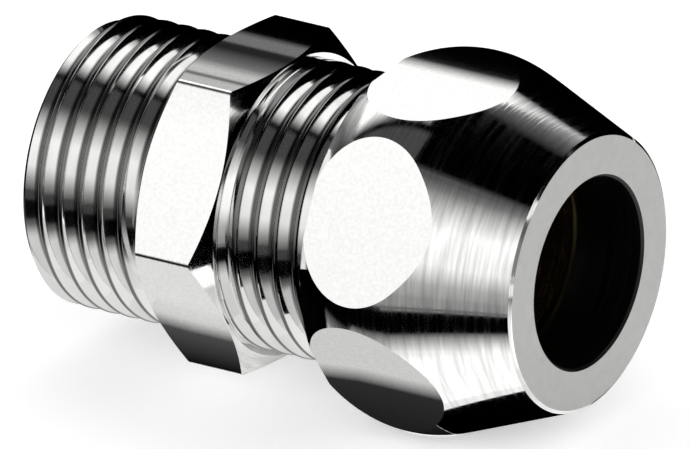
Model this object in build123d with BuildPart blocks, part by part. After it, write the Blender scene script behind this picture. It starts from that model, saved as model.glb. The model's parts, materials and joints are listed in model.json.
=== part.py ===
from build123d import *
import os
from math import cos, radians, sin, sqrt, tan

# Straight male connector for a 15 mm copper pipe, with a compression joint.
# The axis of the fitting runs along X. The origin is the centre of the flat end of the
# outlet thread, the pipe enters from the +X end, and the body's hexagon has a flat on top.
# All sizes are in millimetres.

# Pipe threads of the body: G 5/8, 14 threads to the inch, modelled at their major diameter
thread_major_diameter = 22.911
thread_pitch = 1.814
thread_end_chamfer = 0.75
outlet_thread_length = 11.2
inlet_thread_length = 13.2

# Hexagon of the body: its chamfers start a little inside the flats
body_across_flats = 24.0
body_hexagon_width = 7.0
hexagon_face_margin = 0.25
hexagon_chamfer_angle = 30.0

# Way through the body: the pipe stops on a narrow shoulder at the end of its socket
pipe_diameter = 15.0
socket_clearance = 0.10
socket_depth = 9.0
pipe_stop_width = 1.1
waterway_mouth_chamfer = 0.5

# Compression ring: its wall is thickest in the middle and tapers to both ends
ring_length = 6.4
ring_wall = 1.45
ring_end_wall = 0.55
ring_clearance = 0.05
ring_seat_gap = 0.08

# Cone seats that squeeze the ring, each a little wider at its mouth than the ring
seat_angle = 30.0
body_seat_margin = 0.3
nut_seat_margin = 0.4

# Union nut: a hexagon bar turned to a dome and a long cone, so that each flat is a closed curve.
# The dome stands above the flats by the crown height, and falls to the back face by the drop.
nut_across_flats = 27.0
nut_length = 17.6
nut_crown_height = 1.575
nut_back_drop = 1.38
nut_dome_radius = 10.0
nut_cone_angle = 20.6
nut_rim_chamfer = 0.2
nut_hole_clearance = 0.075
nut_thread_depth = 8.6
nut_thread_clearance = 0.05
nut_mouth_chamfer = 0.6

# How the nut stands on the body: screwed on by some turns, its flats a little past the body's
turns_engaged = 2.2
nut_turned_angle = 2.0

# Places along the axis
hexagon_start = outlet_thread_length
hexagon_end = hexagon_start + body_hexagon_width
body_end = hexagon_end + inlet_thread_length
nut_start = body_end - turns_engaged * thread_pitch
nut_end = nut_start + nut_length
nut_thread_end = nut_start + nut_thread_depth

# Radii
thread_radius = thread_major_diameter / 2
pipe_radius = pipe_diameter / 2
socket_radius = pipe_radius + socket_clearance
waterway_radius = socket_radius - pipe_stop_width
ring_bore_radius = pipe_radius + ring_clearance
ring_radius = ring_bore_radius + ring_wall
ring_end_radius = ring_bore_radius + ring_end_wall
body_seat_mouth_radius = ring_radius + body_seat_margin
nut_seat_mouth_radius = ring_radius + nut_seat_margin
nut_bore_radius = thread_radius + nut_thread_clearance
nut_hole_radius = pipe_radius + nut_hole_clearance

# Cone seats: their radius falls by this much for each millimetre along the axis
seat_slope = tan(radians(seat_angle))
body_seat_start = body_end - (body_seat_mouth_radius - socket_radius) / seat_slope
socket_start = body_seat_start - socket_depth
nut_seat_end = nut_thread_end + (nut_seat_mouth_radius - nut_hole_radius) / seat_slope

# Body: two threaded ends and the hexagon between them, turned and bored as one piece
hexagon_face_radius = body_across_flats / 2 - hexagon_face_margin
hexagon_corner_radius = body_across_flats / sqrt(3)
hexagon_chamfer_slope = tan(radians(hexagon_chamfer_angle))
hexagon_chamfer_depth = (hexagon_corner_radius - hexagon_face_radius) * hexagon_chamfer_slope

with BuildPart() as fitting_body:
    with BuildSketch(Plane.YZ.offset(hexagon_start)):
        RegularPolygon(body_across_flats / 2, side_count=6, major_radius=False)
    extrude(amount=body_hexagon_width)
    # turning the corners off both faces leaves the curved chamfers of a hexagon bar
    with BuildSketch(Plane.XZ):
        with BuildLine():
            Polyline(
                (hexagon_start, 0),
                (hexagon_start, hexagon_face_radius),
                (hexagon_start + hexagon_chamfer_depth, hexagon_corner_radius),
                (hexagon_end - hexagon_chamfer_depth, hexagon_corner_radius),
                (hexagon_end, hexagon_face_radius),
                (hexagon_end, 0),
                close=True,
            )
        make_face()
    revolve(axis=Axis.X, mode=Mode.INTERSECT)
    with BuildSketch(Plane.YZ):
        Circle(thread_radius)
    extrude(amount=outlet_thread_length)
    with BuildSketch(Plane.YZ.offset(hexagon_end)):
        Circle(thread_radius)
    extrude(amount=inlet_thread_length)
    rims = fitting_body.edges().filter_by(GeomType.CIRCLE).group_by(Axis.X)
    chamfer(rims[0] + rims[-1], length=thread_end_chamfer)
    # waterway, pipe socket with its stop shoulder, and the cone seat at the mouth
    with BuildSketch(Plane.XZ):
        with BuildLine():
            Polyline(
                (0, 0),
                (0, waterway_radius + waterway_mouth_chamfer),
                (waterway_mouth_chamfer, waterway_radius),
                (socket_start, waterway_radius),
                (socket_start, socket_radius),
                (body_seat_start, socket_radius),
                (body_end, body_seat_mouth_radius),
                (body_end, 0),
                close=True,
            )
        make_face()
    revolve(axis=Axis.X, mode=Mode.SUBTRACT)
fitting_body.part.label = "fitting_body"

# Union nut: the dome is an arc that runs on into the cone without an edge
cone_angle = radians(nut_cone_angle)
dome_top_radius = nut_across_flats / 2 + nut_crown_height
dome_back_radius = dome_top_radius - nut_back_drop
dome_top = nut_start + sqrt(nut_dome_radius**2 - (nut_dome_radius - nut_back_drop) ** 2)
dome_join = dome_top + nut_dome_radius * sin(cone_angle)
dome_join_radius = dome_top_radius - nut_dome_radius * (1 - cos(cone_angle))
cone_end_radius = dome_join_radius - (nut_end - dome_join) * tan(cone_angle)

with BuildPart() as compression_nut:
    with BuildSketch(Plane.XZ):
        with BuildLine():
            dome = ThreePointArc(
                (nut_start, dome_back_radius),
                (dome_top, dome_top_radius),
                (dome_join, dome_join_radius),
            )
            Polyline(dome @ 1, (nut_end, cone_end_radius), (nut_end, 0), (nut_start, 0), dome @ 0)
        make_face()
    revolve(axis=Axis.X)
    chamfer(compression_nut.edges().group_by(Axis.X)[-1], length=nut_rim_chamfer)
    # the spanner flats, each a closed curve where the hexagon cuts the turned form
    with BuildSketch(Plane.YZ.offset(nut_start)):
        RegularPolygon(
            nut_across_flats / 2, side_count=6, major_radius=False, rotation=nut_turned_angle
        )
    extrude(amount=nut_length, mode=Mode.INTERSECT)
    # thread bore, cone seat for the ring, and the hole for the pipe
    with BuildSketch(Plane.XZ):
        with BuildLine():
            Polyline(
                (nut_start, 0),
                (nut_start, nut_bore_radius + nut_mouth_chamfer),
                (nut_start + nut_mouth_chamfer, nut_bore_radius),
                (nut_thread_end, nut_bore_radius),
                (nut_thread_end, nut_seat_mouth_radius),
                (nut_seat_end, nut_hole_radius),
                (nut_end - nut_rim_chamfer, nut_hole_radius),
                (nut_end, nut_hole_radius + nut_rim_chamfer),
                (nut_end, 0),
                close=True,
            )
        make_face()
    revolve(axis=Axis.X, mode=Mode.SUBTRACT)
compression_nut.part.label = "compression_nut"

# Compression ring: loose on the pipe, it lies against the nut's seat with a hair of clearance
ring_cone_length = (ring_radius - ring_end_radius) / seat_slope
seat_gap_along_axis = ring_seat_gap / sin(radians(seat_angle))
ring_end = nut_seat_end - (ring_end_radius - nut_hole_radius) / seat_slope - seat_gap_along_axis
ring_start = ring_end - ring_length

with BuildPart() as compression_ring:
    with BuildSketch(Plane.XZ):
        with BuildLine():
            Polyline(
                (ring_start, ring_bore_radius),
                (ring_start, ring_end_radius),
                (ring_start + ring_cone_length, ring_radius),
                (ring_end - ring_cone_length, ring_radius),
                (ring_end, ring_end_radius),
                (ring_end, ring_bore_radius),
                close=True,
            )
        make_face()
    revolve(axis=Axis.X)
compression_ring.part.label = "compression_ring"

os.makedirs("parts", exist_ok=True)
export_step(fitting_body.part, "parts/fitting_body.step")
export_step(compression_nut.part, "parts/compression_nut.step")
export_step(compression_ring.part, "parts/compression_ring.step")

# How far the nut can push the ring towards the body before the body's seat pinches it
pinched_ring_start = body_end - (body_seat_mouth_radius - ring_end_radius) / seat_slope
pinched_ring_start += seat_gap_along_axis
print(f"overall length {nut_end:.3f}, nut from {nut_start:.3f}, ring from {ring_start:.3f}")
print(f"nut widest across {2 * dome_top_radius:.3f}, across its end face {2 * cone_end_radius:.3f}")
print(f"socket from {socket_start:.3f} to {body_seat_start:.3f}, nut hole from {nut_seat_end:.3f}")
print(f"travel until the ring is pinched {ring_start - pinched_ring_start:.3f}")
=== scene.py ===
# %% [markdown]
# # A bright connector for a copper pipe
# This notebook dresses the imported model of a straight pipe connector. The real thing is turned
# from hexagon brass bar and plated with bright nickel: a body with a male thread at each end, a
# domed union nut, and a loose ring inside the nut that grips the pipe.
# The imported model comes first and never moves. Everything else is made round it, in metres.

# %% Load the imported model
import json
import math

import bmesh
import bpy
from mathutils import Matrix, Vector

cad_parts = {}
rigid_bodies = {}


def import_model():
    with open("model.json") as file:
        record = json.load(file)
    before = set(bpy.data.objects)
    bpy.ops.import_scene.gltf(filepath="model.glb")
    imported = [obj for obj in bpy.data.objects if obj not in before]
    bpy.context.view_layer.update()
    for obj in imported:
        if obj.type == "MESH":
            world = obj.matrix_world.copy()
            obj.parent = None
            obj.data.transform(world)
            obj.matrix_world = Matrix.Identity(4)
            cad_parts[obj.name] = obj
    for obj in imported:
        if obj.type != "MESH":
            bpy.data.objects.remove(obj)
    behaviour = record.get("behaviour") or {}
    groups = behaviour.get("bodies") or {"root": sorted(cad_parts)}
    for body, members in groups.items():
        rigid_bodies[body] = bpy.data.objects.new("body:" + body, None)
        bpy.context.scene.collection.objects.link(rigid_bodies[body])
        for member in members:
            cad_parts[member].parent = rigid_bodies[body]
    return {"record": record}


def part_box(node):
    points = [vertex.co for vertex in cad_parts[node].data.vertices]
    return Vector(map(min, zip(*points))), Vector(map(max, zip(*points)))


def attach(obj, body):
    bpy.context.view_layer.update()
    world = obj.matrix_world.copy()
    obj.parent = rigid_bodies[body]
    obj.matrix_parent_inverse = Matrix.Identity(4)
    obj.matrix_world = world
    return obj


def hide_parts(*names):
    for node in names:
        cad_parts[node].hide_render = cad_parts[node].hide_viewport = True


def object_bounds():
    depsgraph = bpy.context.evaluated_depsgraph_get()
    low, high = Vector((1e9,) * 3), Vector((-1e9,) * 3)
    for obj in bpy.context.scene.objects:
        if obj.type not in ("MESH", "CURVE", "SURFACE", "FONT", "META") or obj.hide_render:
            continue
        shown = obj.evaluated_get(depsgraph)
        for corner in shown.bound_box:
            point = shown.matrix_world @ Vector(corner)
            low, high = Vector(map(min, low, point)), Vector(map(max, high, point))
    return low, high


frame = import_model()
cad_low, cad_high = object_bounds()
print("packed model from", tuple(cad_low), "to", tuple(cad_high))

# %% [markdown]
# ## Sizes
# What the frame knows is read from it: where the body, the nut and the ring start and end, and
# the radii of the thread and the pipe holes. The rest are a maker's own sizes in millimetres.

# %% Sizes that the frame gives
mm = 0.001
mounts = {mount["name"]: mount["dims"] for mount in frame["record"]["mounts"] if mount["dims"]}
thread_radius = mounts["outlet_thread"]["r_mm"] * mm
socket_radius = mounts["pipe_socket"]["r_mm"] * mm
socket_depth = mounts["pipe_socket"]["length_mm"] * mm
nut_hole_radius = mounts["pipe_entry"]["r_mm"] * mm
body_low, body_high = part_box("fitting_body")
nut_low, nut_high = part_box("compression_nut")
ring_low, ring_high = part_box("compression_ring")
body_end = body_high.x
nut_start, nut_end = nut_low.x, nut_high.x
ring_start, ring_end = ring_low.x, ring_high.x
ring_radius = ring_high.z
print(f"body to {body_end / mm:.2f} mm, nut {nut_start / mm:.2f} to {nut_end / mm:.2f} mm")

# %% The maker's own sizes
end_chamfer = 0.75 * mm
hexagon_start = 11.2 * mm
hexagon_end = 18.2 * mm
body_across_flats = 24.0 * mm
hexagon_face_margin = 0.1 * mm
hexagon_corner_rounding = 0.45 * mm
hexagon_chamfer_slope = math.tan(math.radians(30))

waterway_radius = 6.5 * mm
waterway_mouth_chamfer = 0.5 * mm
seat_slope = math.tan(math.radians(30))
body_seat_mouth_radius = 9.3 * mm

nut_across_flats = 27.0 * mm
nut_turned_angle = math.radians(2)
# 0.01 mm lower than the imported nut's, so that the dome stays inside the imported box
nut_crown_height = 1.565 * mm
nut_back_drop = 1.38 * mm
nut_dome_radius = 10.0 * mm
nut_cone_angle = math.radians(20.6)
nut_rim_chamfer = 0.2 * mm
nut_thread_depth = 8.6 * mm
nut_mouth_chamfer = 0.6 * mm
nut_seat_mouth_radius = 9.4 * mm
print(f"hexagons {body_across_flats / mm:.0f} and {nut_across_flats / mm:.0f} mm across flats")

# %% [markdown]
# ## Camera
# The catalogue picture was taken from so far away that nothing shrinks with distance. An
# orthographic camera shows the same, and its scale is the width of the picture in metres. It looks
# from the pipe's side, a little from above, and it is held a few degrees out of level.

# %% Place the camera
image_width, image_height = 690, 449
pixels_per_mm = 13.0
camera_azimuth = math.radians(34.15)
camera_elevation = math.radians(24.5)
camera_roll = math.radians(-2.4)
camera_distance = 1.0
# the centre of the nut's end face falls on this pixel of the picture
nut_end_pixel = (589.0, 273.0)

to_right = Vector((math.cos(camera_azimuth), math.sin(camera_azimuth), 0))
to_camera = Vector((
    math.sin(camera_azimuth) * math.cos(camera_elevation),
    -math.cos(camera_azimuth) * math.cos(camera_elevation),
    math.sin(camera_elevation),
))
to_top = to_camera.cross(to_right)
picture_right = to_right * math.cos(camera_roll) + to_top * math.sin(camera_roll)
picture_up = to_top * math.cos(camera_roll) - to_right * math.sin(camera_roll)
pixel = mm / pixels_per_mm
target = (
    Vector((nut_end, 0, 0))
    + picture_right * (image_width / 2 - nut_end_pixel[0]) * pixel
    - picture_up * (image_height / 2 - nut_end_pixel[1]) * pixel
)

camera = bpy.data.objects.new("camera", bpy.data.cameras.new("camera"))
bpy.context.scene.collection.objects.link(camera)
camera.data.type = "ORTHO"
camera.data.ortho_scale = image_width * pixel
axes = Matrix((picture_right, picture_up, to_camera)).transposed().to_4x4()
camera.matrix_world = Matrix.Translation(target + to_camera * camera_distance) @ axes
bpy.context.scene.camera = camera
print(f"picture {camera.data.ortho_scale / mm:.1f} mm wide")

# %% [markdown]
# ## Helpers for turned work
# Almost every surface here comes off a lathe, so the main helper is a lathe: it takes a profile
# of places along the axis and radii, and spins it about X. A profile that ends on the axis makes
# a solid, and one that closes on itself makes a ring. Solids are then cut and joined with the
# Boolean modifier, in the order in which a machine shop would do it.

# %% A lathe, an arc for its profiles, and a way to keep the result
round_steps = 192
weld_distance = 0.0005 * mm


def arc(centre, radius, start, end, steps):
    """Points on a round stretch of a profile, with angles in degrees from the axis."""
    turn = [math.radians(start + (end - start) * step / steps) for step in range(steps + 1)]
    return [(centre[0] + radius * math.cos(a), centre[1] + radius * math.sin(a)) for a in turn]


def lathe(profile, closed=False):
    """A bmesh of the profile spun about X, with its faces outward."""
    bm = bmesh.new()
    points = [bm.verts.new((x, 0, radius)) for x, radius in profile]
    pairs = list(zip(points, points[1:] + points[:1]))
    for a, b in pairs if closed else pairs[:-1]:
        bm.edges.new((a, b))
    bmesh.ops.spin(
        bm, geom=bm.verts[:] + bm.edges[:], cent=(0, 0, 0), axis=(1, 0, 0), dvec=(0, 0, 0),
        angle=math.tau, steps=round_steps, use_merge=True, use_duplicate=False,
    )
    bmesh.ops.remove_doubles(bm, verts=bm.verts, dist=weld_distance)
    bmesh.ops.recalc_face_normals(bm, faces=bm.faces)
    return bm


def keep(bm, name):
    """Turns a bmesh into an object of the scene."""
    mesh = bpy.data.meshes.new(name)
    bm.to_mesh(mesh)
    bm.free()
    piece = bpy.data.objects.new(name, mesh)
    bpy.context.scene.collection.objects.link(piece)
    return piece


def machine(piece, operation, tool):
    """Cuts, joins or trims a piece with another solid, which is used up."""
    step = piece.modifiers.new("machining", "BOOLEAN")
    step.operation = operation
    step.solver = "MANIFOLD"
    step.object = tool
    graph = bpy.context.evaluated_depsgraph_get()
    machined = bpy.data.meshes.new_from_object(piece.evaluated_get(graph))
    piece.modifiers.clear()
    rough = piece.data
    piece.data = machined
    bpy.data.meshes.remove(rough)
    bpy.data.objects.remove(tool)


# %% [markdown]
# ## The pipe thread
# A pipe thread of this kind has flanks that lean 27.5 degrees and crests and roots rounded to the
# same radius. That section is spun once round the axis while it moves along by one pitch. Copies
# of this turn, each a pitch further, meet end to end, and their doubles are merged. The helix is
# right-handed. Near the hexagon the groove gets shallow and ends, because the threading tool is
# drawn back there.

# %% One turn's section, and the threaded rod
pitch = 1.814 * mm
thread_depth = 0.640327 * pitch
thread_rounding = 0.137329 * pitch
flank_angle = 27.5
crest_steps = 4
root_steps = 6
cut_tolerance = 1e-8
# keeps a vertex that lies on a crest from being counted to the turn before it
turn_slack = 1e-4


def thread_section(crest_radius):
    """The outline from one crest to the next, as places along the axis and radii."""
    crest_centre = crest_radius - thread_rounding
    root_centre = crest_radius - thread_depth + thread_rounding
    falling = arc((0, crest_centre), thread_rounding, 90, flank_angle, crest_steps)
    root = arc(
        (pitch / 2, root_centre), thread_rounding, 180 + flank_angle, 360 - flank_angle, root_steps,
    )
    rising = arc((pitch, crest_centre), thread_rounding, 180 - flank_angle, 90, crest_steps)
    return falling + root + rising


def threaded_rod(crest_radius, start, end, crest_at, groove_ends, groove_full):
    """A solid rod with a thread whose crest passes x = crest_at on the +Y side.

    Between groove_full and groove_ends its groove gets shallower, from its full depth to none.
    """
    bm = bmesh.new()
    first = crest_at - pitch * math.ceil((crest_at - start) / pitch + 1)
    points = [bm.verts.new((first + x, r, 0)) for x, r in thread_section(crest_radius)]
    for a, b in zip(points, points[1:]):
        bm.edges.new((a, b))
    bmesh.ops.spin(
        bm, geom=bm.verts[:] + bm.edges[:], cent=(0, 0, 0), axis=(1, 0, 0),
        dvec=(pitch / round_steps, 0, 0), angle=math.tau, steps=round_steps,
        use_merge=False, use_duplicate=False,
    )
    one_turn = bm.verts[:] + bm.edges[:] + bm.faces[:]
    for turn in range(1, math.ceil((end - first) / pitch) + 1):
        copied = bmesh.ops.duplicate(bm, geom=one_turn)
        moved = [part for part in copied["geom"] if isinstance(part, bmesh.types.BMVert)]
        bmesh.ops.translate(bm, verts=moved, vec=(pitch * turn, 0, 0))
    bmesh.ops.remove_doubles(bm, verts=bm.verts, dist=weld_distance)
    for vert in bm.verts:
        lead = (math.atan2(vert.co.z, vert.co.y) % math.tau) / math.tau
        turn = math.floor((vert.co.x - crest_at) / pitch - lead + turn_slack)
        groove_at = crest_at + pitch * (turn + 0.5 + lead)
        depth = min(max((groove_at - groove_ends) / (groove_full - groove_ends), 0), 1)
        radius = math.hypot(vert.co.y, vert.co.z)
        shallow = (crest_radius - (crest_radius - radius) * depth) / radius
        vert.co.y *= shallow
        vert.co.z *= shallow
    for place, side in ((start, -1), (end, 1)):
        cut = bmesh.ops.bisect_plane(
            bm, geom=bm.verts[:] + bm.edges[:] + bm.faces[:], dist=cut_tolerance,
            plane_co=(place, 0, 0), plane_no=(side, 0, 0), clear_outer=True, clear_inner=False,
        )
        rim = [part for part in cut["geom_cut"] if isinstance(part, bmesh.types.BMEdge)]
        bmesh.ops.edgeloop_fill(bm, edges=rim)
    bmesh.ops.recalc_face_normals(bm, faces=bm.faces)
    return bm


# %% [markdown]
# ## The body
# The blank is a short piece of hexagon bar with rounded corners, chamfered on both faces, and a
# threaded rod grows out of each side. The rods start as plain round stock inside the hexagon.

# %% Hexagon bar with its faces chamfered
flat_radius = body_across_flats / 2
corner_radius = flat_radius / math.cos(math.radians(30))
face_radius = flat_radius - hexagon_face_margin
# the chamfering tool reaches a little past the corners
chamfer_run = 1.2 * (corner_radius - face_radius) * hexagon_chamfer_slope
tool_radius = face_radius + chamfer_run / hexagon_chamfer_slope

bm = bmesh.new()
# the circle's first corner lies on the Y axis, so one flat lies on top
bar_place = Matrix.Translation((hexagon_start, 0, 0)) @ Matrix.Rotation(math.radians(90), 4, "Y")
bmesh.ops.create_circle(bm, cap_ends=True, segments=6, radius=corner_radius, matrix=bar_place)
grown = bmesh.ops.extrude_face_region(bm, geom=bm.faces[:])
grown_corners = [part for part in grown["geom"] if isinstance(part, bmesh.types.BMVert)]
bmesh.ops.translate(bm, verts=grown_corners, vec=(hexagon_end - hexagon_start, 0, 0))
bmesh.ops.recalc_face_normals(bm, faces=bm.faces)
long_edges = [e for e in bm.edges if abs(e.verts[0].co.x - e.verts[1].co.x) > mm]
bmesh.ops.bevel(
    bm, geom=long_edges, offset=hexagon_corner_rounding * math.tan(math.radians(30)),
    segments=8, profile=0.5, affect="EDGES", material=-1, clamp_overlap=True,
)
connector_body = keep(bm, "connector_body")

chamfering = lathe([
    (hexagon_start, 0),
    (hexagon_start, face_radius),
    (hexagon_start + chamfer_run, tool_radius),
    (hexagon_end - chamfer_run, tool_radius),
    (hexagon_end, face_radius),
    (hexagon_end, 0),
])
machine(connector_body, "INTERSECT", keep(chamfering, "chamfering"))
print("hexagon", len(connector_body.data.polygons), "faces")

# %% Two threaded rods grow out of it
overlap = 1.0 * mm
outlet_crest_at = 1.1 * mm
inlet_crest_at = 18.96 * mm
outlet_rod = threaded_rod(
    thread_radius, -overlap, hexagon_start + overlap, outlet_crest_at,
    groove_ends=10.9 * mm, groove_full=10.0 * mm,
)
machine(connector_body, "UNION", keep(outlet_rod, "outlet_rod"))
inlet_rod = threaded_rod(
    thread_radius, hexagon_end - overlap, body_end + overlap, inlet_crest_at,
    groove_ends=18.5 * mm, groove_full=19.6 * mm,
)
machine(connector_body, "UNION", keep(inlet_rod, "inlet_rod"))
print("threaded blank", len(connector_body.data.polygons), "faces")

# %% [markdown]
# A narrow V is turned beside the hexagon on the pipe's side, where the groove gets shallow. It is
# cut by a pointed tool, which is spun as a three-sided ring.

# %% Turn the relief beside the hexagon
relief_at = 18.7 * mm
relief_depth = 0.3 * mm
relief_half_width = 0.15 * mm
# the tool is three times as large as the cut that it leaves
relief_tool = lathe([
    (relief_at, thread_radius - relief_depth),
    (relief_at + 3 * relief_half_width, thread_radius + 2 * relief_depth),
    (relief_at - 3 * relief_half_width, thread_radius + 2 * relief_depth),
], closed=True)
machine(connector_body, "DIFFERENCE", keep(relief_tool, "relief_tool"))
print("relieved blank", len(connector_body.data.polygons), "faces")

# %% [markdown]
# Facing the two ends and chamfering the start of each thread is one trim with a turned envelope.
# The waterway, the pipe's socket and the cone seat are one stepped drill.

# %% Face the ends and drill the way through
barrel_radius = 16 * mm
barrel_rise = barrel_radius - thread_radius + end_chamfer
envelope = lathe([
    (0, 0),
    (0, thread_radius - end_chamfer),
    (barrel_rise, barrel_radius),
    (body_end - barrel_rise, barrel_radius),
    (body_end, thread_radius - end_chamfer),
    (body_end, 0),
])
machine(connector_body, "INTERSECT", keep(envelope, "envelope"))

seat_start = body_end - (body_seat_mouth_radius - socket_radius) / seat_slope
socket_start = seat_start - socket_depth
drill = lathe([
    (-overlap, 0),
    (-overlap, waterway_radius + waterway_mouth_chamfer + overlap),
    (waterway_mouth_chamfer, waterway_radius),
    (socket_start, waterway_radius),
    (socket_start, socket_radius),
    (seat_start, socket_radius),
    (body_end + overlap, body_seat_mouth_radius + overlap * seat_slope),
    (body_end + overlap, 0),
])
machine(connector_body, "DIFFERENCE", keep(drill, "drill"))
print("body", len(connector_body.data.polygons), "faces")

# %% [markdown]
# ## The union nut
# The nut is turned to a dome that runs on into a long cone, and then six flats are milled on it.
# Each flat meets the round form in one closed curve. A cutting plane with everything outside it
# cleared away does what the milling cutter does.

# %% Turn the dome and mill the flats
dome_top_radius = nut_across_flats / 2 + nut_crown_height
dome_centre_radius = dome_top_radius - nut_dome_radius
dome_top = nut_start + math.sqrt(nut_dome_radius**2 - (nut_dome_radius - nut_back_drop) ** 2)
back_angle = math.degrees(math.acos((nut_start - dome_top) / nut_dome_radius))
join_angle = 90 - math.degrees(nut_cone_angle)
dome_steps = 30
dome = arc((dome_top, dome_centre_radius), nut_dome_radius, back_angle, join_angle, dome_steps)
join_at, join_radius = dome[-1]
cone_end_radius = join_radius - (nut_end - join_at) * math.tan(nut_cone_angle)
rim_radius = cone_end_radius - nut_rim_chamfer
rim_at = nut_end - nut_rim_chamfer
nut_blank = lathe(
    [(nut_start, 0)] + dome
    + [(rim_at, join_radius - (rim_at - join_at) * math.tan(nut_cone_angle))]
    + [(nut_end, rim_radius), (nut_end, 0)]
)
for flat in range(6):
    turned = math.radians(90 + 60 * flat) + nut_turned_angle
    outward = Vector((0, math.cos(turned), math.sin(turned)))
    cut = bmesh.ops.bisect_plane(
        nut_blank, geom=nut_blank.verts[:] + nut_blank.edges[:] + nut_blank.faces[:],
        dist=cut_tolerance, plane_co=outward * nut_across_flats / 2, plane_no=outward,
        clear_outer=True, clear_inner=False,
    )
    curve = [part for part in cut["geom_cut"] if isinstance(part, bmesh.types.BMEdge)]
    bmesh.ops.edgeloop_fill(nut_blank, edges=curve)
bmesh.ops.recalc_face_normals(nut_blank, faces=nut_blank.faces)
union_nut = keep(nut_blank, "union_nut")
print("nut blank", len(union_nut.data.polygons), "faces")

# %% [markdown]
# The nut's inner thread is cut by a tap, which is the same rod again, larger all round by the
# running clearance. It is in step with the body's thread, so the two can turn in each other.

# %% Tap the nut and bore its seat and hole
thread_clearance = 0.05 * mm
nut_thread_end = nut_start + nut_thread_depth
# its groove is full from well outside the nut, so no shallow turns are left in the bore
tap = threaded_rod(
    thread_radius + thread_clearance, nut_start - overlap, nut_thread_end, inlet_crest_at,
    groove_ends=nut_start - 3 * pitch, groove_full=nut_start - 2 * pitch,
)
machine(union_nut, "DIFFERENCE", keep(tap, "tap"))
seat_end = nut_thread_end + (nut_seat_mouth_radius - nut_hole_radius) / seat_slope
mouth_radius = thread_radius + thread_clearance + nut_mouth_chamfer
boring = lathe([
    (nut_start - overlap, 0),
    (nut_start - overlap, mouth_radius + overlap),
    (nut_start + mouth_radius - nut_seat_mouth_radius, nut_seat_mouth_radius),
    (nut_thread_end, nut_seat_mouth_radius),
    (seat_end, nut_hole_radius),
    (nut_end - nut_rim_chamfer, nut_hole_radius),
    (nut_end + overlap, nut_hole_radius + nut_rim_chamfer + overlap),
    (nut_end + overlap, 0),
])
machine(union_nut, "DIFFERENCE", keep(boring, "boring"))
print("nut", len(union_nut.data.polygons), "faces")

# %% [markdown]
# ## The squeeze ring
# The ring is a short brass sleeve, thin at both ends, which the two cone seats press onto the
# pipe. It only shows when the nut is off or when one looks into the hole, but it is round too.

# %% Turn the ring
ring_bore_radius = 7.55 * mm
ring_end_radius = 8.1 * mm
ring_taper = (ring_radius - ring_end_radius) / seat_slope
squeeze_ring = keep(lathe([
    (ring_start, ring_bore_radius),
    (ring_start, ring_end_radius),
    (ring_start + ring_taper, ring_radius),
    (ring_end - ring_taper, ring_radius),
    (ring_end, ring_end_radius),
    (ring_end, ring_bore_radius),
], closed=True), "squeeze_ring")
print("ring", len(squeeze_ring.data.polygons), "faces")

# %% [markdown]
# ## Finishes
# Bright nickel is a metal with a soft mirror. What makes it look machined is the fine relief left
# by the tools: lines round the axis where it was turned, a faint grain on the flats of the bar.
# Both are noise on the object's own coordinates, stretched along the tool's way.


# %% A metal finish with tool marks
def metal_finish(name, colour, roughness, marks, mark_height, shade, spread=0.3):
    """Metal whose relief is noise, with marks giving its lines per metre along X, Y and Z.

    In the marks the colour falls to its share shade, and the roughness changes by its share spread.
    """
    material = bpy.data.materials.new(name)
    material.use_nodes = True
    nodes, links = material.node_tree.nodes, material.node_tree.links
    shader = nodes["Principled BSDF"]
    shader.inputs["Metallic"].default_value = 1
    place = nodes.new("ShaderNodeTexCoord")
    stretch = nodes.new("ShaderNodeMapping")
    stretch.inputs["Scale"].default_value = marks
    links.new(place.outputs["Object"], stretch.inputs["Vector"])
    noise = nodes.new("ShaderNodeTexNoise")
    noise.inputs["Scale"].default_value = 1
    noise.inputs["Detail"].default_value = 3
    noise.inputs["Roughness"].default_value = 0.6
    links.new(stretch.outputs["Vector"], noise.inputs["Vector"])
    relief = nodes.new("ShaderNodeBump")
    relief.inputs["Strength"].default_value = 1
    relief.inputs["Distance"].default_value = mark_height
    links.new(noise.outputs["Fac"], relief.inputs["Height"])
    links.new(relief.outputs["Normal"], shader.inputs["Normal"])
    contrast = nodes.new("ShaderNodeMapRange")
    contrast.inputs["From Min"].default_value = 0.35
    contrast.inputs["From Max"].default_value = 0.65
    links.new(noise.outputs["Fac"], contrast.inputs["Value"])
    tone = nodes.new("ShaderNodeMix")
    tone.data_type = "RGBA"
    tone.inputs["A"].default_value = (*(part * shade for part in colour), 1)
    tone.inputs["B"].default_value = (*colour, 1)
    links.new(contrast.outputs["Result"], tone.inputs["Factor"])
    links.new(tone.outputs["Result"], shader.inputs["Base Color"])
    gloss = nodes.new("ShaderNodeMapRange")
    gloss.inputs["To Min"].default_value = roughness * (1 + spread)
    gloss.inputs["To Max"].default_value = roughness * (1 - spread)
    links.new(contrast.outputs["Result"], gloss.inputs["Value"])
    links.new(gloss.outputs["Result"], shader.inputs["Roughness"])
    return material


nickel = (0.84, 0.84, 0.83)
bright_nickel = (0.96, 0.96, 0.95)
shaded_satin_nickel = (0.45, 0.45, 0.44)
# nearly black, as painted shade for the bores
shaded_nickel = (0.04, 0.04, 0.04)
brass = (0.80, 0.60, 0.27)
thread_nickel = (0.88, 0.88, 0.87)
turned_nickel = metal_finish(
    "turned_nickel", bright_nickel, 0.08, (3600, 200, 200), 0.006 * mm, 0.7, spread=0.5,
)
drawn_nickel = metal_finish("drawn_nickel", nickel, 0.03, (3500, 3500, 3500), 0.0002 * mm, 0.9)
threaded_nickel = metal_finish(
    "threaded_nickel", thread_nickel, 0.08, (1000, 100, 100), 0.0005 * mm, 0.9,
)
# painted shade: the faced ends are rough like a satin face, and their colour is darkened as well
faced_nickel = metal_finish(
    "faced_nickel", shaded_satin_nickel, 0.35, (1500, 1500, 1500), 0.0002 * mm, 0.97, spread=0.1,
)
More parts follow.
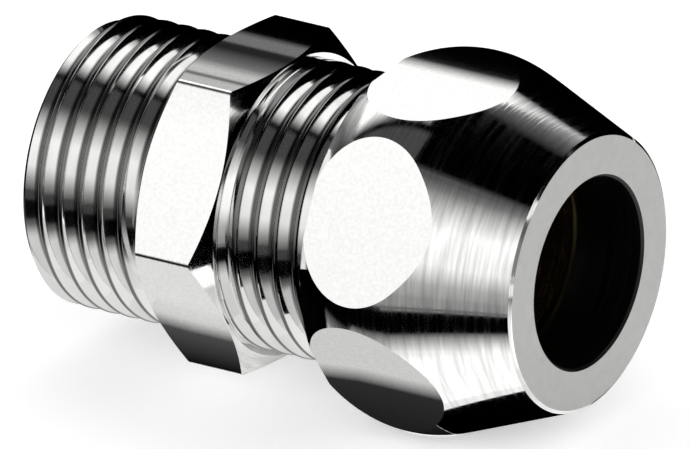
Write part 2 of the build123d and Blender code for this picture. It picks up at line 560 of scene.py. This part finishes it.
# painted shade: the bores are painted nearly black, for the shade inside the holes
bore_shade_nickel = metal_finish(
    "bore_shade_nickel", shaded_nickel, 0.4, (5000, 120, 120), 0.001 * mm, 0.8,
)
turned_brass = metal_finish("turned_brass", brass, 0.22, (9000, 160, 160), 0.001 * mm, 0.85)
print("finishes", [material.name for material in bpy.data.materials])

# %% [markdown]
# The thread's colour is darkened deep in each groove and on each crest. This is painted shade, for
# the shade in the roots and the dark lines between the turns. The thread's colour is multiplied by
# a value that depends on the distance from the axis.


# %% Painted shade on the roots and the crests of the threads
def grey_by_stops(nodes, links, source, stops, unit):
    """A grey that follows (place, level) stops as source changes, with the places in a unit."""
    first, last = stops[0][0], stops[-1][0]
    measure = nodes.new("ShaderNodeMapRange")
    measure.inputs["From Min"].default_value = first * unit
    measure.inputs["From Max"].default_value = last * unit
    links.new(source, measure.inputs["Value"])
    bands = nodes.new("ShaderNodeValToRGB")
    ramp = bands.color_ramp
    while len(ramp.elements) < len(stops):
        ramp.elements.new(1)
    for element, (at, level) in zip(ramp.elements, stops):
        element.position = (at - first) / (last - first)
        element.color = (level, level, level, 1)
    links.new(measure.outputs["Result"], bands.inputs["Fac"])
    return bands.outputs["Color"]


def paint_shade_by_radius(material, stops):
    """Painted shade: a finish's colour times a share that follows (radius, share) stops from the
    axis.
    """
    nodes, links = material.node_tree.nodes, material.node_tree.links
    shader = nodes["Principled BSDF"]
    tone = shader.inputs["Base Color"].links[0].from_socket
    place = nodes.new("ShaderNodeTexCoord")
    across = nodes.new("ShaderNodeVectorMath")
    across.operation = "MULTIPLY"
    across.inputs[1].default_value = (0, 1, 1)
    links.new(place.outputs["Object"], across.inputs[0])
    radius = nodes.new("ShaderNodeVectorMath")
    radius.operation = "LENGTH"
    links.new(across.outputs["Vector"], radius.inputs[0])
    share = grey_by_stops(nodes, links, radius.outputs["Value"], stops, unit=1)
    shaded_tone = nodes.new("ShaderNodeVectorMath")
    shaded_tone.operation = "MULTIPLY"
    links.new(tone, shaded_tone.inputs[0])
    links.new(share, shaded_tone.inputs[1])
    links.new(shaded_tone.outputs["Vector"], shader.inputs["Base Color"])


root_radius = thread_radius - thread_depth
# painted shade: the thread is darkened in its roots and on its crests
paint_shade_by_radius(threaded_nickel, [
    (root_radius + 0.05 * mm, 0.12), (root_radius + 0.22 * mm, 1.0),
    (thread_radius - 0.12 * mm, 1.0), (thread_radius - 0.05 * mm, 0.2),
])
print(f"roots at {root_radius / mm:.2f} mm, crests at {thread_radius / mm:.2f} mm")

# %% [markdown]
# A face gets its finish from where it lies: the spanner flats, the faced ends, the bores and the
# rest. The bores are painted nearly black, which is painted shade inside the holes. Flats and ends
# stay flat-shaded, because they are true planes, and the rest is smooth with sharp edges where two
# machined surfaces meet.


# %% Give each face its finish and finish the pieces
# places of the finishes in the list that a piece is dressed with
TURNED, DRAWN, FACED, BORED, THREADED = range(5)
sharp_angle = math.radians(30)
flat_tolerance = 0.003 * mm
hexagon_face_slack = 0.1 * mm


def dress(piece, finishes, choose, body, node):
    """Assigns finishes by face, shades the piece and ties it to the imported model."""
    piece.data.materials.clear()
    for finish in finishes:
        piece.data.materials.append(finish)
    for face in piece.data.polygons:
        face.material_index, smooth = choose(face)
        face.use_smooth = smooth
    piece.data.set_sharp_from_angle(angle=sharp_angle)
    for face in piece.data.polygons:
        face.use_smooth = choose(face)[1]
    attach(piece, body)
    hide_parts(node)
    bm = bmesh.new()
    bm.from_mesh(piece.data)
    open_edges = sum(not edge.is_manifold for edge in bm.edges)
    triangles = sum(len(face.verts) - 2 for face in bm.faces)
    print(piece.name, triangles, "triangles,", open_edges, "open edges")
    bm.free()


def reach(face):
    """How far the face's plane lies from the axis, and negative where it faces the axis."""
    return face.center.y * face.normal.y + face.center.z * face.normal.z


def is_faced(face):
    """True where the face lies square to the axis."""
    return abs(face.normal.x) > 0.999


def is_plane_flat(face, across_flats):
    """True on a spanner flat: it lies along the axis, at half the size across from it."""
    along = abs(face.normal.x) < 0.02
    return along and abs(reach(face) - across_flats / 2) < flat_tolerance


def body_face(face):
    """The place of the finish for a face of the body, and whether the face is smooth."""
    radius = math.hypot(face.center.y, face.center.z)
    past_start = face.center.x > hexagon_start - hexagon_face_slack
    before_end = face.center.x < hexagon_end + hexagon_face_slack
    on_hexagon = past_start and before_end
    if is_faced(face):
        return (TURNED if on_hexagon else FACED), False
    if radius < body_seat_mouth_radius and reach(face) < 0:
        return BORED, True
    if on_hexagon and is_plane_flat(face, body_across_flats):
        return DRAWN, False
    return (TURNED if on_hexagon else THREADED), True


def nut_face(face):
    """The place of the finish for a face of the nut, and whether the face is smooth."""
    radius = math.hypot(face.center.y, face.center.z)
    if is_faced(face):
        return FACED, False
    if reach(face) < 0 and radius < mouth_radius:
        return BORED, True
    if is_plane_flat(face, nut_across_flats):
        return DRAWN, False
    return TURNED, True


def ring_face(face):
    """The ring has one finish all over, and is smooth but for its sharp edges."""
    return TURNED, True


plated = [turned_nickel, drawn_nickel, faced_nickel, bore_shade_nickel, threaded_nickel]
dress(connector_body, plated, body_face, "body", "fitting_body")
dress(union_nut, plated[:THREADED], nut_face, "nut", "compression_nut")
dress(squeeze_ring, [turned_brass], ring_face, "ring", "compression_ring")

# %% [markdown]
# ## The table
# The floor is pale and matt. The camera and the metal see it as white, and it keeps the shadow of
# the connector, which touches it with one of the nut's flats.


# %% Floor and world
def light_share(nodes, links, kinds):
    """A value of 1 for the kinds of ray that see the background as white, and else 0."""
    path = nodes.new("ShaderNodeLightPath")
    total = path.outputs[kinds[0]]
    for kind in kinds[1:]:
        both = nodes.new("ShaderNodeMath")
        both.operation = "MAXIMUM"
        links.new(total, both.inputs[0])
        links.new(path.outputs[kind], both.inputs[1])
        total = both.outputs["Value"]
    return total


seen_as_white = ("Is Camera Ray", "Is Glossy Ray", "Is Transmission Ray")
floor_tone = 0.85
floor_glow = 0.52

paper = bpy.data.materials.new("white_paper")
paper.use_nodes = True
nodes, links = paper.node_tree.nodes, paper.node_tree.links
shader = nodes["Principled BSDF"]
shader.inputs["Base Color"].default_value = (floor_tone, floor_tone, floor_tone, 1)
shader.inputs["Roughness"].default_value = 1
shader.inputs["Specular IOR Level"].default_value = 0
shader.inputs["Emission Color"].default_value = (1, 1, 1, 1)
glow = nodes.new("ShaderNodeMath")
glow.operation = "MULTIPLY"
glow.inputs[1].default_value = floor_glow
links.new(light_share(nodes, links, seen_as_white), glow.inputs[0])
links.new(glow.outputs["Value"], shader.inputs["Emission Strength"])

floor_level = cad_low.z
floor_half_width = 3.0
bm = bmesh.new()
bmesh.ops.create_grid(
    bm, x_segments=1, y_segments=1, size=floor_half_width,
    matrix=Matrix.Translation((0, 0, floor_level)),
)
floor = keep(bm, "floor")
floor.data.materials.append(paper)

world_level = 0.75
world = bpy.data.worlds.new("studio")
bpy.context.scene.world = world
world.use_nodes = True
nodes, links = world.node_tree.nodes, world.node_tree.links
backdrop = nodes["Background"]
backdrop.inputs["Color"].default_value = (1, 1, 1, 1)
level = nodes.new("ShaderNodeMapRange")
level.inputs["To Min"].default_value = world_level
level.inputs["To Max"].default_value = 1
links.new(light_share(nodes, links, seen_as_white), level.inputs["Value"])
links.new(level.outputs["Result"], backdrop.inputs["Strength"])
print(f"floor at {floor_level / mm:.2f} mm")

# %% [markdown]
# ## Lights and black cloth
# A mirror shows what stands round it, so a photographer lights bright metal by what it reflects.
# Long softboxes run beside the connector, black cloth hangs between them, and black card lies on
# the table, which gives the long black and white bands. The camera doesn't see any of them.


# %% Light whose strength changes along a line
def glowing(name, stops, across="angle", left=1.0, right=1.0, left_at=-0.05, right_at=0.05):
    """Light whose strength follows the angle round the axis in degrees, or a place along Y in mm.

    The stops are (degrees or mm, strength). From left_at to right_at along X it changes as well.
    """
    material = bpy.data.materials.new(name)
    material.use_nodes = True
    nodes, links = material.node_tree.nodes, material.node_tree.links
    nodes.remove(nodes["Principled BSDF"])
    light = nodes.new("ShaderNodeEmission")
    place = nodes.new("ShaderNodeTexCoord")
    axes = nodes.new("ShaderNodeSeparateXYZ")
    links.new(place.outputs["Object"], axes.inputs["Vector"])
    if across == "angle":
        front = nodes.new("ShaderNodeMath")
        front.operation = "MULTIPLY"
        front.inputs[1].default_value = -1
        links.new(axes.outputs["Y"], front.inputs[0])
        angle = nodes.new("ShaderNodeMath")
        angle.operation = "ARCTAN2"
        links.new(axes.outputs["Z"], angle.inputs[0])
        links.new(front.outputs["Value"], angle.inputs[1])
        strength = grey_by_stops(nodes, links, angle.outputs["Value"], stops, math.radians(1))
    else:
        strength = grey_by_stops(nodes, links, axes.outputs["Y"], stops, mm)
    along = nodes.new("ShaderNodeMapRange")
    along.inputs["From Min"].default_value = left_at
    along.inputs["From Max"].default_value = right_at
    along.inputs["To Min"].default_value = left
    along.inputs["To Max"].default_value = right
    links.new(axes.outputs["X"], along.inputs["Value"])
    links.new(strength, light.inputs["Color"])
    links.new(along.outputs["Result"], light.inputs["Strength"])
    links.new(light.outputs["Emission"], nodes["Material Output"].inputs["Surface"])
    return material


def hide_from_camera(piece, lights_the_table):
    """Leaves a studio piece to the metal alone, or to the metal and the table."""
    piece.visible_camera = False
    piece.visible_shadow = False
    piece.visible_diffuse = lights_the_table


def swept_sheet(name, ends, first, last, steps):
    """A sheet between two (x, radius) points, swept round the axis from one angle to another."""
    start, end = math.radians(first), math.radians(last)
    bm = bmesh.new()
    edge = [
        bm.verts.new((x, -radius * math.cos(start), radius * math.sin(start)))
        for x, radius in ends
    ]
    bm.edges.new(edge)
    bmesh.ops.spin(
        bm, geom=bm.verts[:] + bm.edges[:], cent=(0, 0, 0), axis=(-1, 0, 0), dvec=(0, 0, 0),
        angle=end - start, steps=steps, use_merge=False, use_duplicate=False,
    )
    return keep(bm, name)


# %% [markdown]
# The softboxes stand 10 cm from the axis. Angles start level in front of the connector, at 0, and
# 90 is above it. Each box is brightest in its middle and falls off to its edges, as a real one
# does, and the gaps between them show as the black bands. Places along X are in metres.

# %% Soft panels, bent round the axis
tent_radius = 100 * mm
panel_steps = 32
front_left, front_right = -0.098, 0.12
cone_light_from = 0.04
top_left, top_right = -0.115, 0.032
right_box_end = 0.062


def panel(name, places, stops, radius=tent_radius, lights_the_table=True, **fall_off):
    """A long panel bent round the axis, from the first stop's angle to the last one's."""
    ends = [(x, radius) for x in places]
    piece = swept_sheet(name, ends, stops[0][0], stops[-1][0], panel_steps)
    piece.data.materials.append(glowing(name, stops, **fall_off))
    hide_from_camera(piece, lights_the_table)


panel("front_softbox", (front_left, cone_light_from), [
    (-8, 0.12), (0, 0.42), (12, 1.1), (33, 1.25), (58, 0.15), (62, 0.07), (82, 0.07), (85, 0.0),
])
panel("front_right_softbox", (cone_light_from, front_right), [
    (-8, 0.36), (0, 0.48), (12, 1.05), (33, 1.2), (56, 0.2), (66, 0.0),
])
panel("top_softbox", (top_left, top_right), [
    (87, 0.0), (91, 0.3), (102, 1.4), (127, 1.4), (138, 0.45), (141.5, 0.0),
])
panel("left_softbox", (-0.30, top_left), [
    (80, 0.0), (112, 0.58), (125, 0.76), (147, 0.76), (162, 0.0),
], left=0.2, right=1.0, left_at=-0.19, right_at=top_left)
panel("right_softbox", (top_right, right_box_end), [
    (110, 0.0), (124, 0.12), (133, 0.3), (142, 0.7), (145, 0.0),
])
panel("far_right_softbox", (right_box_end, 0.13), [
    (86, 0.0), (105, 1.0), (125, 1.0), (141, 0.0),
])
print("softboxes at", tent_radius, "m from the axis")

# %% [markdown]
# A mirror that is flat shows one small piece of the studio. Two narrow lights stand where the top
# flats look. The nut's is plain, and the hexagon's has bright strips with dark gaps.

# %% Small lights close to the top flats
near_radius = 35 * mm
panel("nut_flat_light", (0.006, 0.031), [
    (112, 1.25), (128.9, 1.25), (130.4, 0.0),
], radius=near_radius, lights_the_table=False)
panel("hexagon_flat_light", (-0.009, 0.0045), [
    (127.6, 0.0), (128.0, 0.6), (129.0, 0.6), (129.2, 0.1), (129.4, 0.1), (129.6, 0.65),
    (130.4, 0.65), (131.5, 0.2), (133.5, 0.02), (134.3, 0.02), (134.5, 0.2), (135.6, 0.2),
    (136.3, 0.0),
], radius=near_radius, lights_the_table=False)
print("two lights at", near_radius, "m from the axis")

# %% [markdown]
# Black cloth hangs behind the softboxes and closes the gaps between them. To the left and right of
# the front box the cloth is grey, because some light reaches it.

# %% Cloth behind and beside the panels
cloth_radius = tent_radius + 5 * mm
cloth_reach = 0.60
panel("cloth", (-0.12, 0.25), [(-4, 0.0), (182, 0.0)], radius=cloth_radius, lights_the_table=False)
panel("left_cloth", (-cloth_reach, front_left), [(-8, 0.3), (50, 0.3), (70, 0.2), (79, 0.2)],
      lights_the_table=False)
panel("right_cloth", (front_right, cloth_reach), [(-8, 0.25), (50, 0.25), (70, 0.1), (85, 0.1)],
      lights_the_table=False)
print("cloth out to", cloth_reach, "m on both sides")

# %% [markdown]
# Two black sheets stand beside the nut's back face, square to the axis. They are painted shade: the
# metal sees them in place of the shade on that face. The ring hides that face from the hexagon's
# chamfer, which then shows black, and the short one beside the front flat darkens the edge of the
# dome there.

# %% Black sheets of painted shade beside the nut
shade_sheet_steps = 48
shade_sheet_at = nut_start - 0.2 * mm
nut_back_radius = dome_top_radius - nut_back_drop
ring_shade_edge = nut_back_radius - 0.1 * mm
dome_shade_edge = 17 * mm


def shade_sheet_ring(name, inner, outer, first, last):
    """A black sheet of painted shade square to the axis, from one radius and angle to another."""
    piece = swept_sheet(name, [(shade_sheet_at, inner), (shade_sheet_at, outer)], first, last, shade_sheet_steps)
    piece.data.materials.append(glowing(name, [(-180, 0.0), (180, 0.0)]))
    hide_from_camera(piece, False)


# painted shade on the nut's back face, seen only in reflections
shade_sheet_ring("back_shade_sheet", thread_radius + 0.15 * mm, ring_shade_edge, 0, 360)
shade_sheet_ring("dome_edge_shade_sheet", ring_shade_edge, dome_shade_edge, -20, 8)
print(f"flags at {shade_sheet_at / mm:.2f} mm")

# %% [markdown]
# The cards lie a hair above the table, so the metal sees them and the table's light doesn't. Under
# and behind the connector they are black: this is painted shadow, for the connector's own shadow on
# the table as the metal sees it. Two more black ones, painted shadow too, stand upright at the left
# edge of the hexagon and of the nut, with white backs, so that the lower flats and the threads
# beside them see different things. Stops along Y are in millimetres.


# %% Cards on the table, black as painted shadow under the connector
def card(name, x_range, stops, lifted=0.05 * mm, upright=0.0, **fall_off):
    """A card from the first stop's place along Y to the last one's, flat on the table.

    With a height in upright it stands at the middle of its x_range instead.
    """
    depth, across = (stops[-1][0] - stops[0][0]) * mm, (stops[-1][0] + stops[0][0]) * mm / 2
    middle = Vector((sum(x_range) / 2, across, floor_level + lifted + upright / 2))
    turned = Matrix.Rotation(math.radians(90 if upright else 0), 4, "Y")
    width = upright if upright else x_range[1] - x_range[0]
    bm = bmesh.new()
    bmesh.ops.create_grid(
        bm, x_segments=1, y_segments=1, size=0.5,
        matrix=Matrix.Translation(middle) @ turned @ Matrix.Diagonal((width, depth, 1, 1)),
    )
    piece = keep(bm, name)
    piece.data.materials.append(glowing(name, stops, across="place", **fall_off))
    hide_from_camera(piece, False)


front_edge = -10.9
hexagon_side = 17.9 * mm
cone_from = 35.5 * mm
end_face_side = 44 * mm
upright_height = 7 * mm
upper_card = 0.1 * mm
back_gap = 0.02 * mm
# painted shadow: the cards turn black where they pass under the connector
below_hexagon = [(-11.4, 0.88), (-10.2, 0.75), (-9.3, 0.08), (-7, 0.0)]
below_nut = [(-11.8, 0.74), (-10.7, 0.03), (-5, 0.0)]
beside_hexagon = hexagon_start - 0.2 * mm
card("card_below_hexagon", (beside_hexagon, hexagon_side), below_hexagon, lifted=upper_card)
card("card_below_nut", (shade_sheet_at, cone_from), below_nut, lifted=upper_card)
for name, at, stops in (
    ("hexagon", beside_hexagon, below_hexagon),
    ("nut", shade_sheet_at, below_nut),
):
    # upright black sheets of painted shadow
    card(f"painted_shadow_below_{name}", (at, at), stops, upright=upright_height)
    back = at - back_gap
    white = [(stops[0][0], 0.9), (stops[-1][0], 0.9)]
    card(f"white_back_of_{name}_flag", (back, back), white, upright=upright_height)
# painted shadow under and behind the nut and the cone
card("card_behind_nut", (shade_sheet_at, end_face_side), [(-5, 0.0), (60, 0.0)])
card("card_below_cone", (cone_from, end_face_side), [(-9.7, 0.0), (-5, 0.0)])
# painted shadow: black from under the outlet thread backwards
card("card_below_body", (-0.06, shade_sheet_at), [
    (front_edge, 0.85), (-4, 0.8), (4, 0.1), (8, 0.0), (60, 0.0),
])
card("card_behind", (-0.06, end_face_side), [(60, 0.0), (200, 0.0)])
card("card_behind_left", (-0.30, -0.06), [(0, 0.0), (200, 0.0)])
card("front_card", (-0.30, cone_from), [
    (-58, 0.06), (-52, 0.0), (-31, 0.0), (-25.5, 0.2), (-20, 0.88), (front_edge, 0.88),
], left=1.0, right=0.82, left_at=0.014, right_at=0.022)
card("dome_card", (0.022, cone_from), [(-34, 0.0), (-24, 0.75), (-20, 0.75)], lifted=upper_card)
card("cone_card", (cone_from, 0.12), [
    (-58, 0.3), (-52, 0.0), (-33, 0.0), (-27, 0.55), (-21, 1.25), (front_edge, 1.25),
])
card("left_far_card", (-0.30, 0.03), [(-600, 0.08), (-58, 0.06)])
card("right_far_card", (0.03, 0.30), [(-200, 0.4), (-64, 0.3), (-58, 0.05)])
unseen = [piece.name for piece in bpy.context.scene.objects if not piece.visible_camera]
print(len(unseen), "studio pieces that the camera does not see")

# %% [markdown]
# ## Finish
# The view transform stays plain.

# %% Finish
bpy.context.scene.view_settings.view_transform = "Standard"
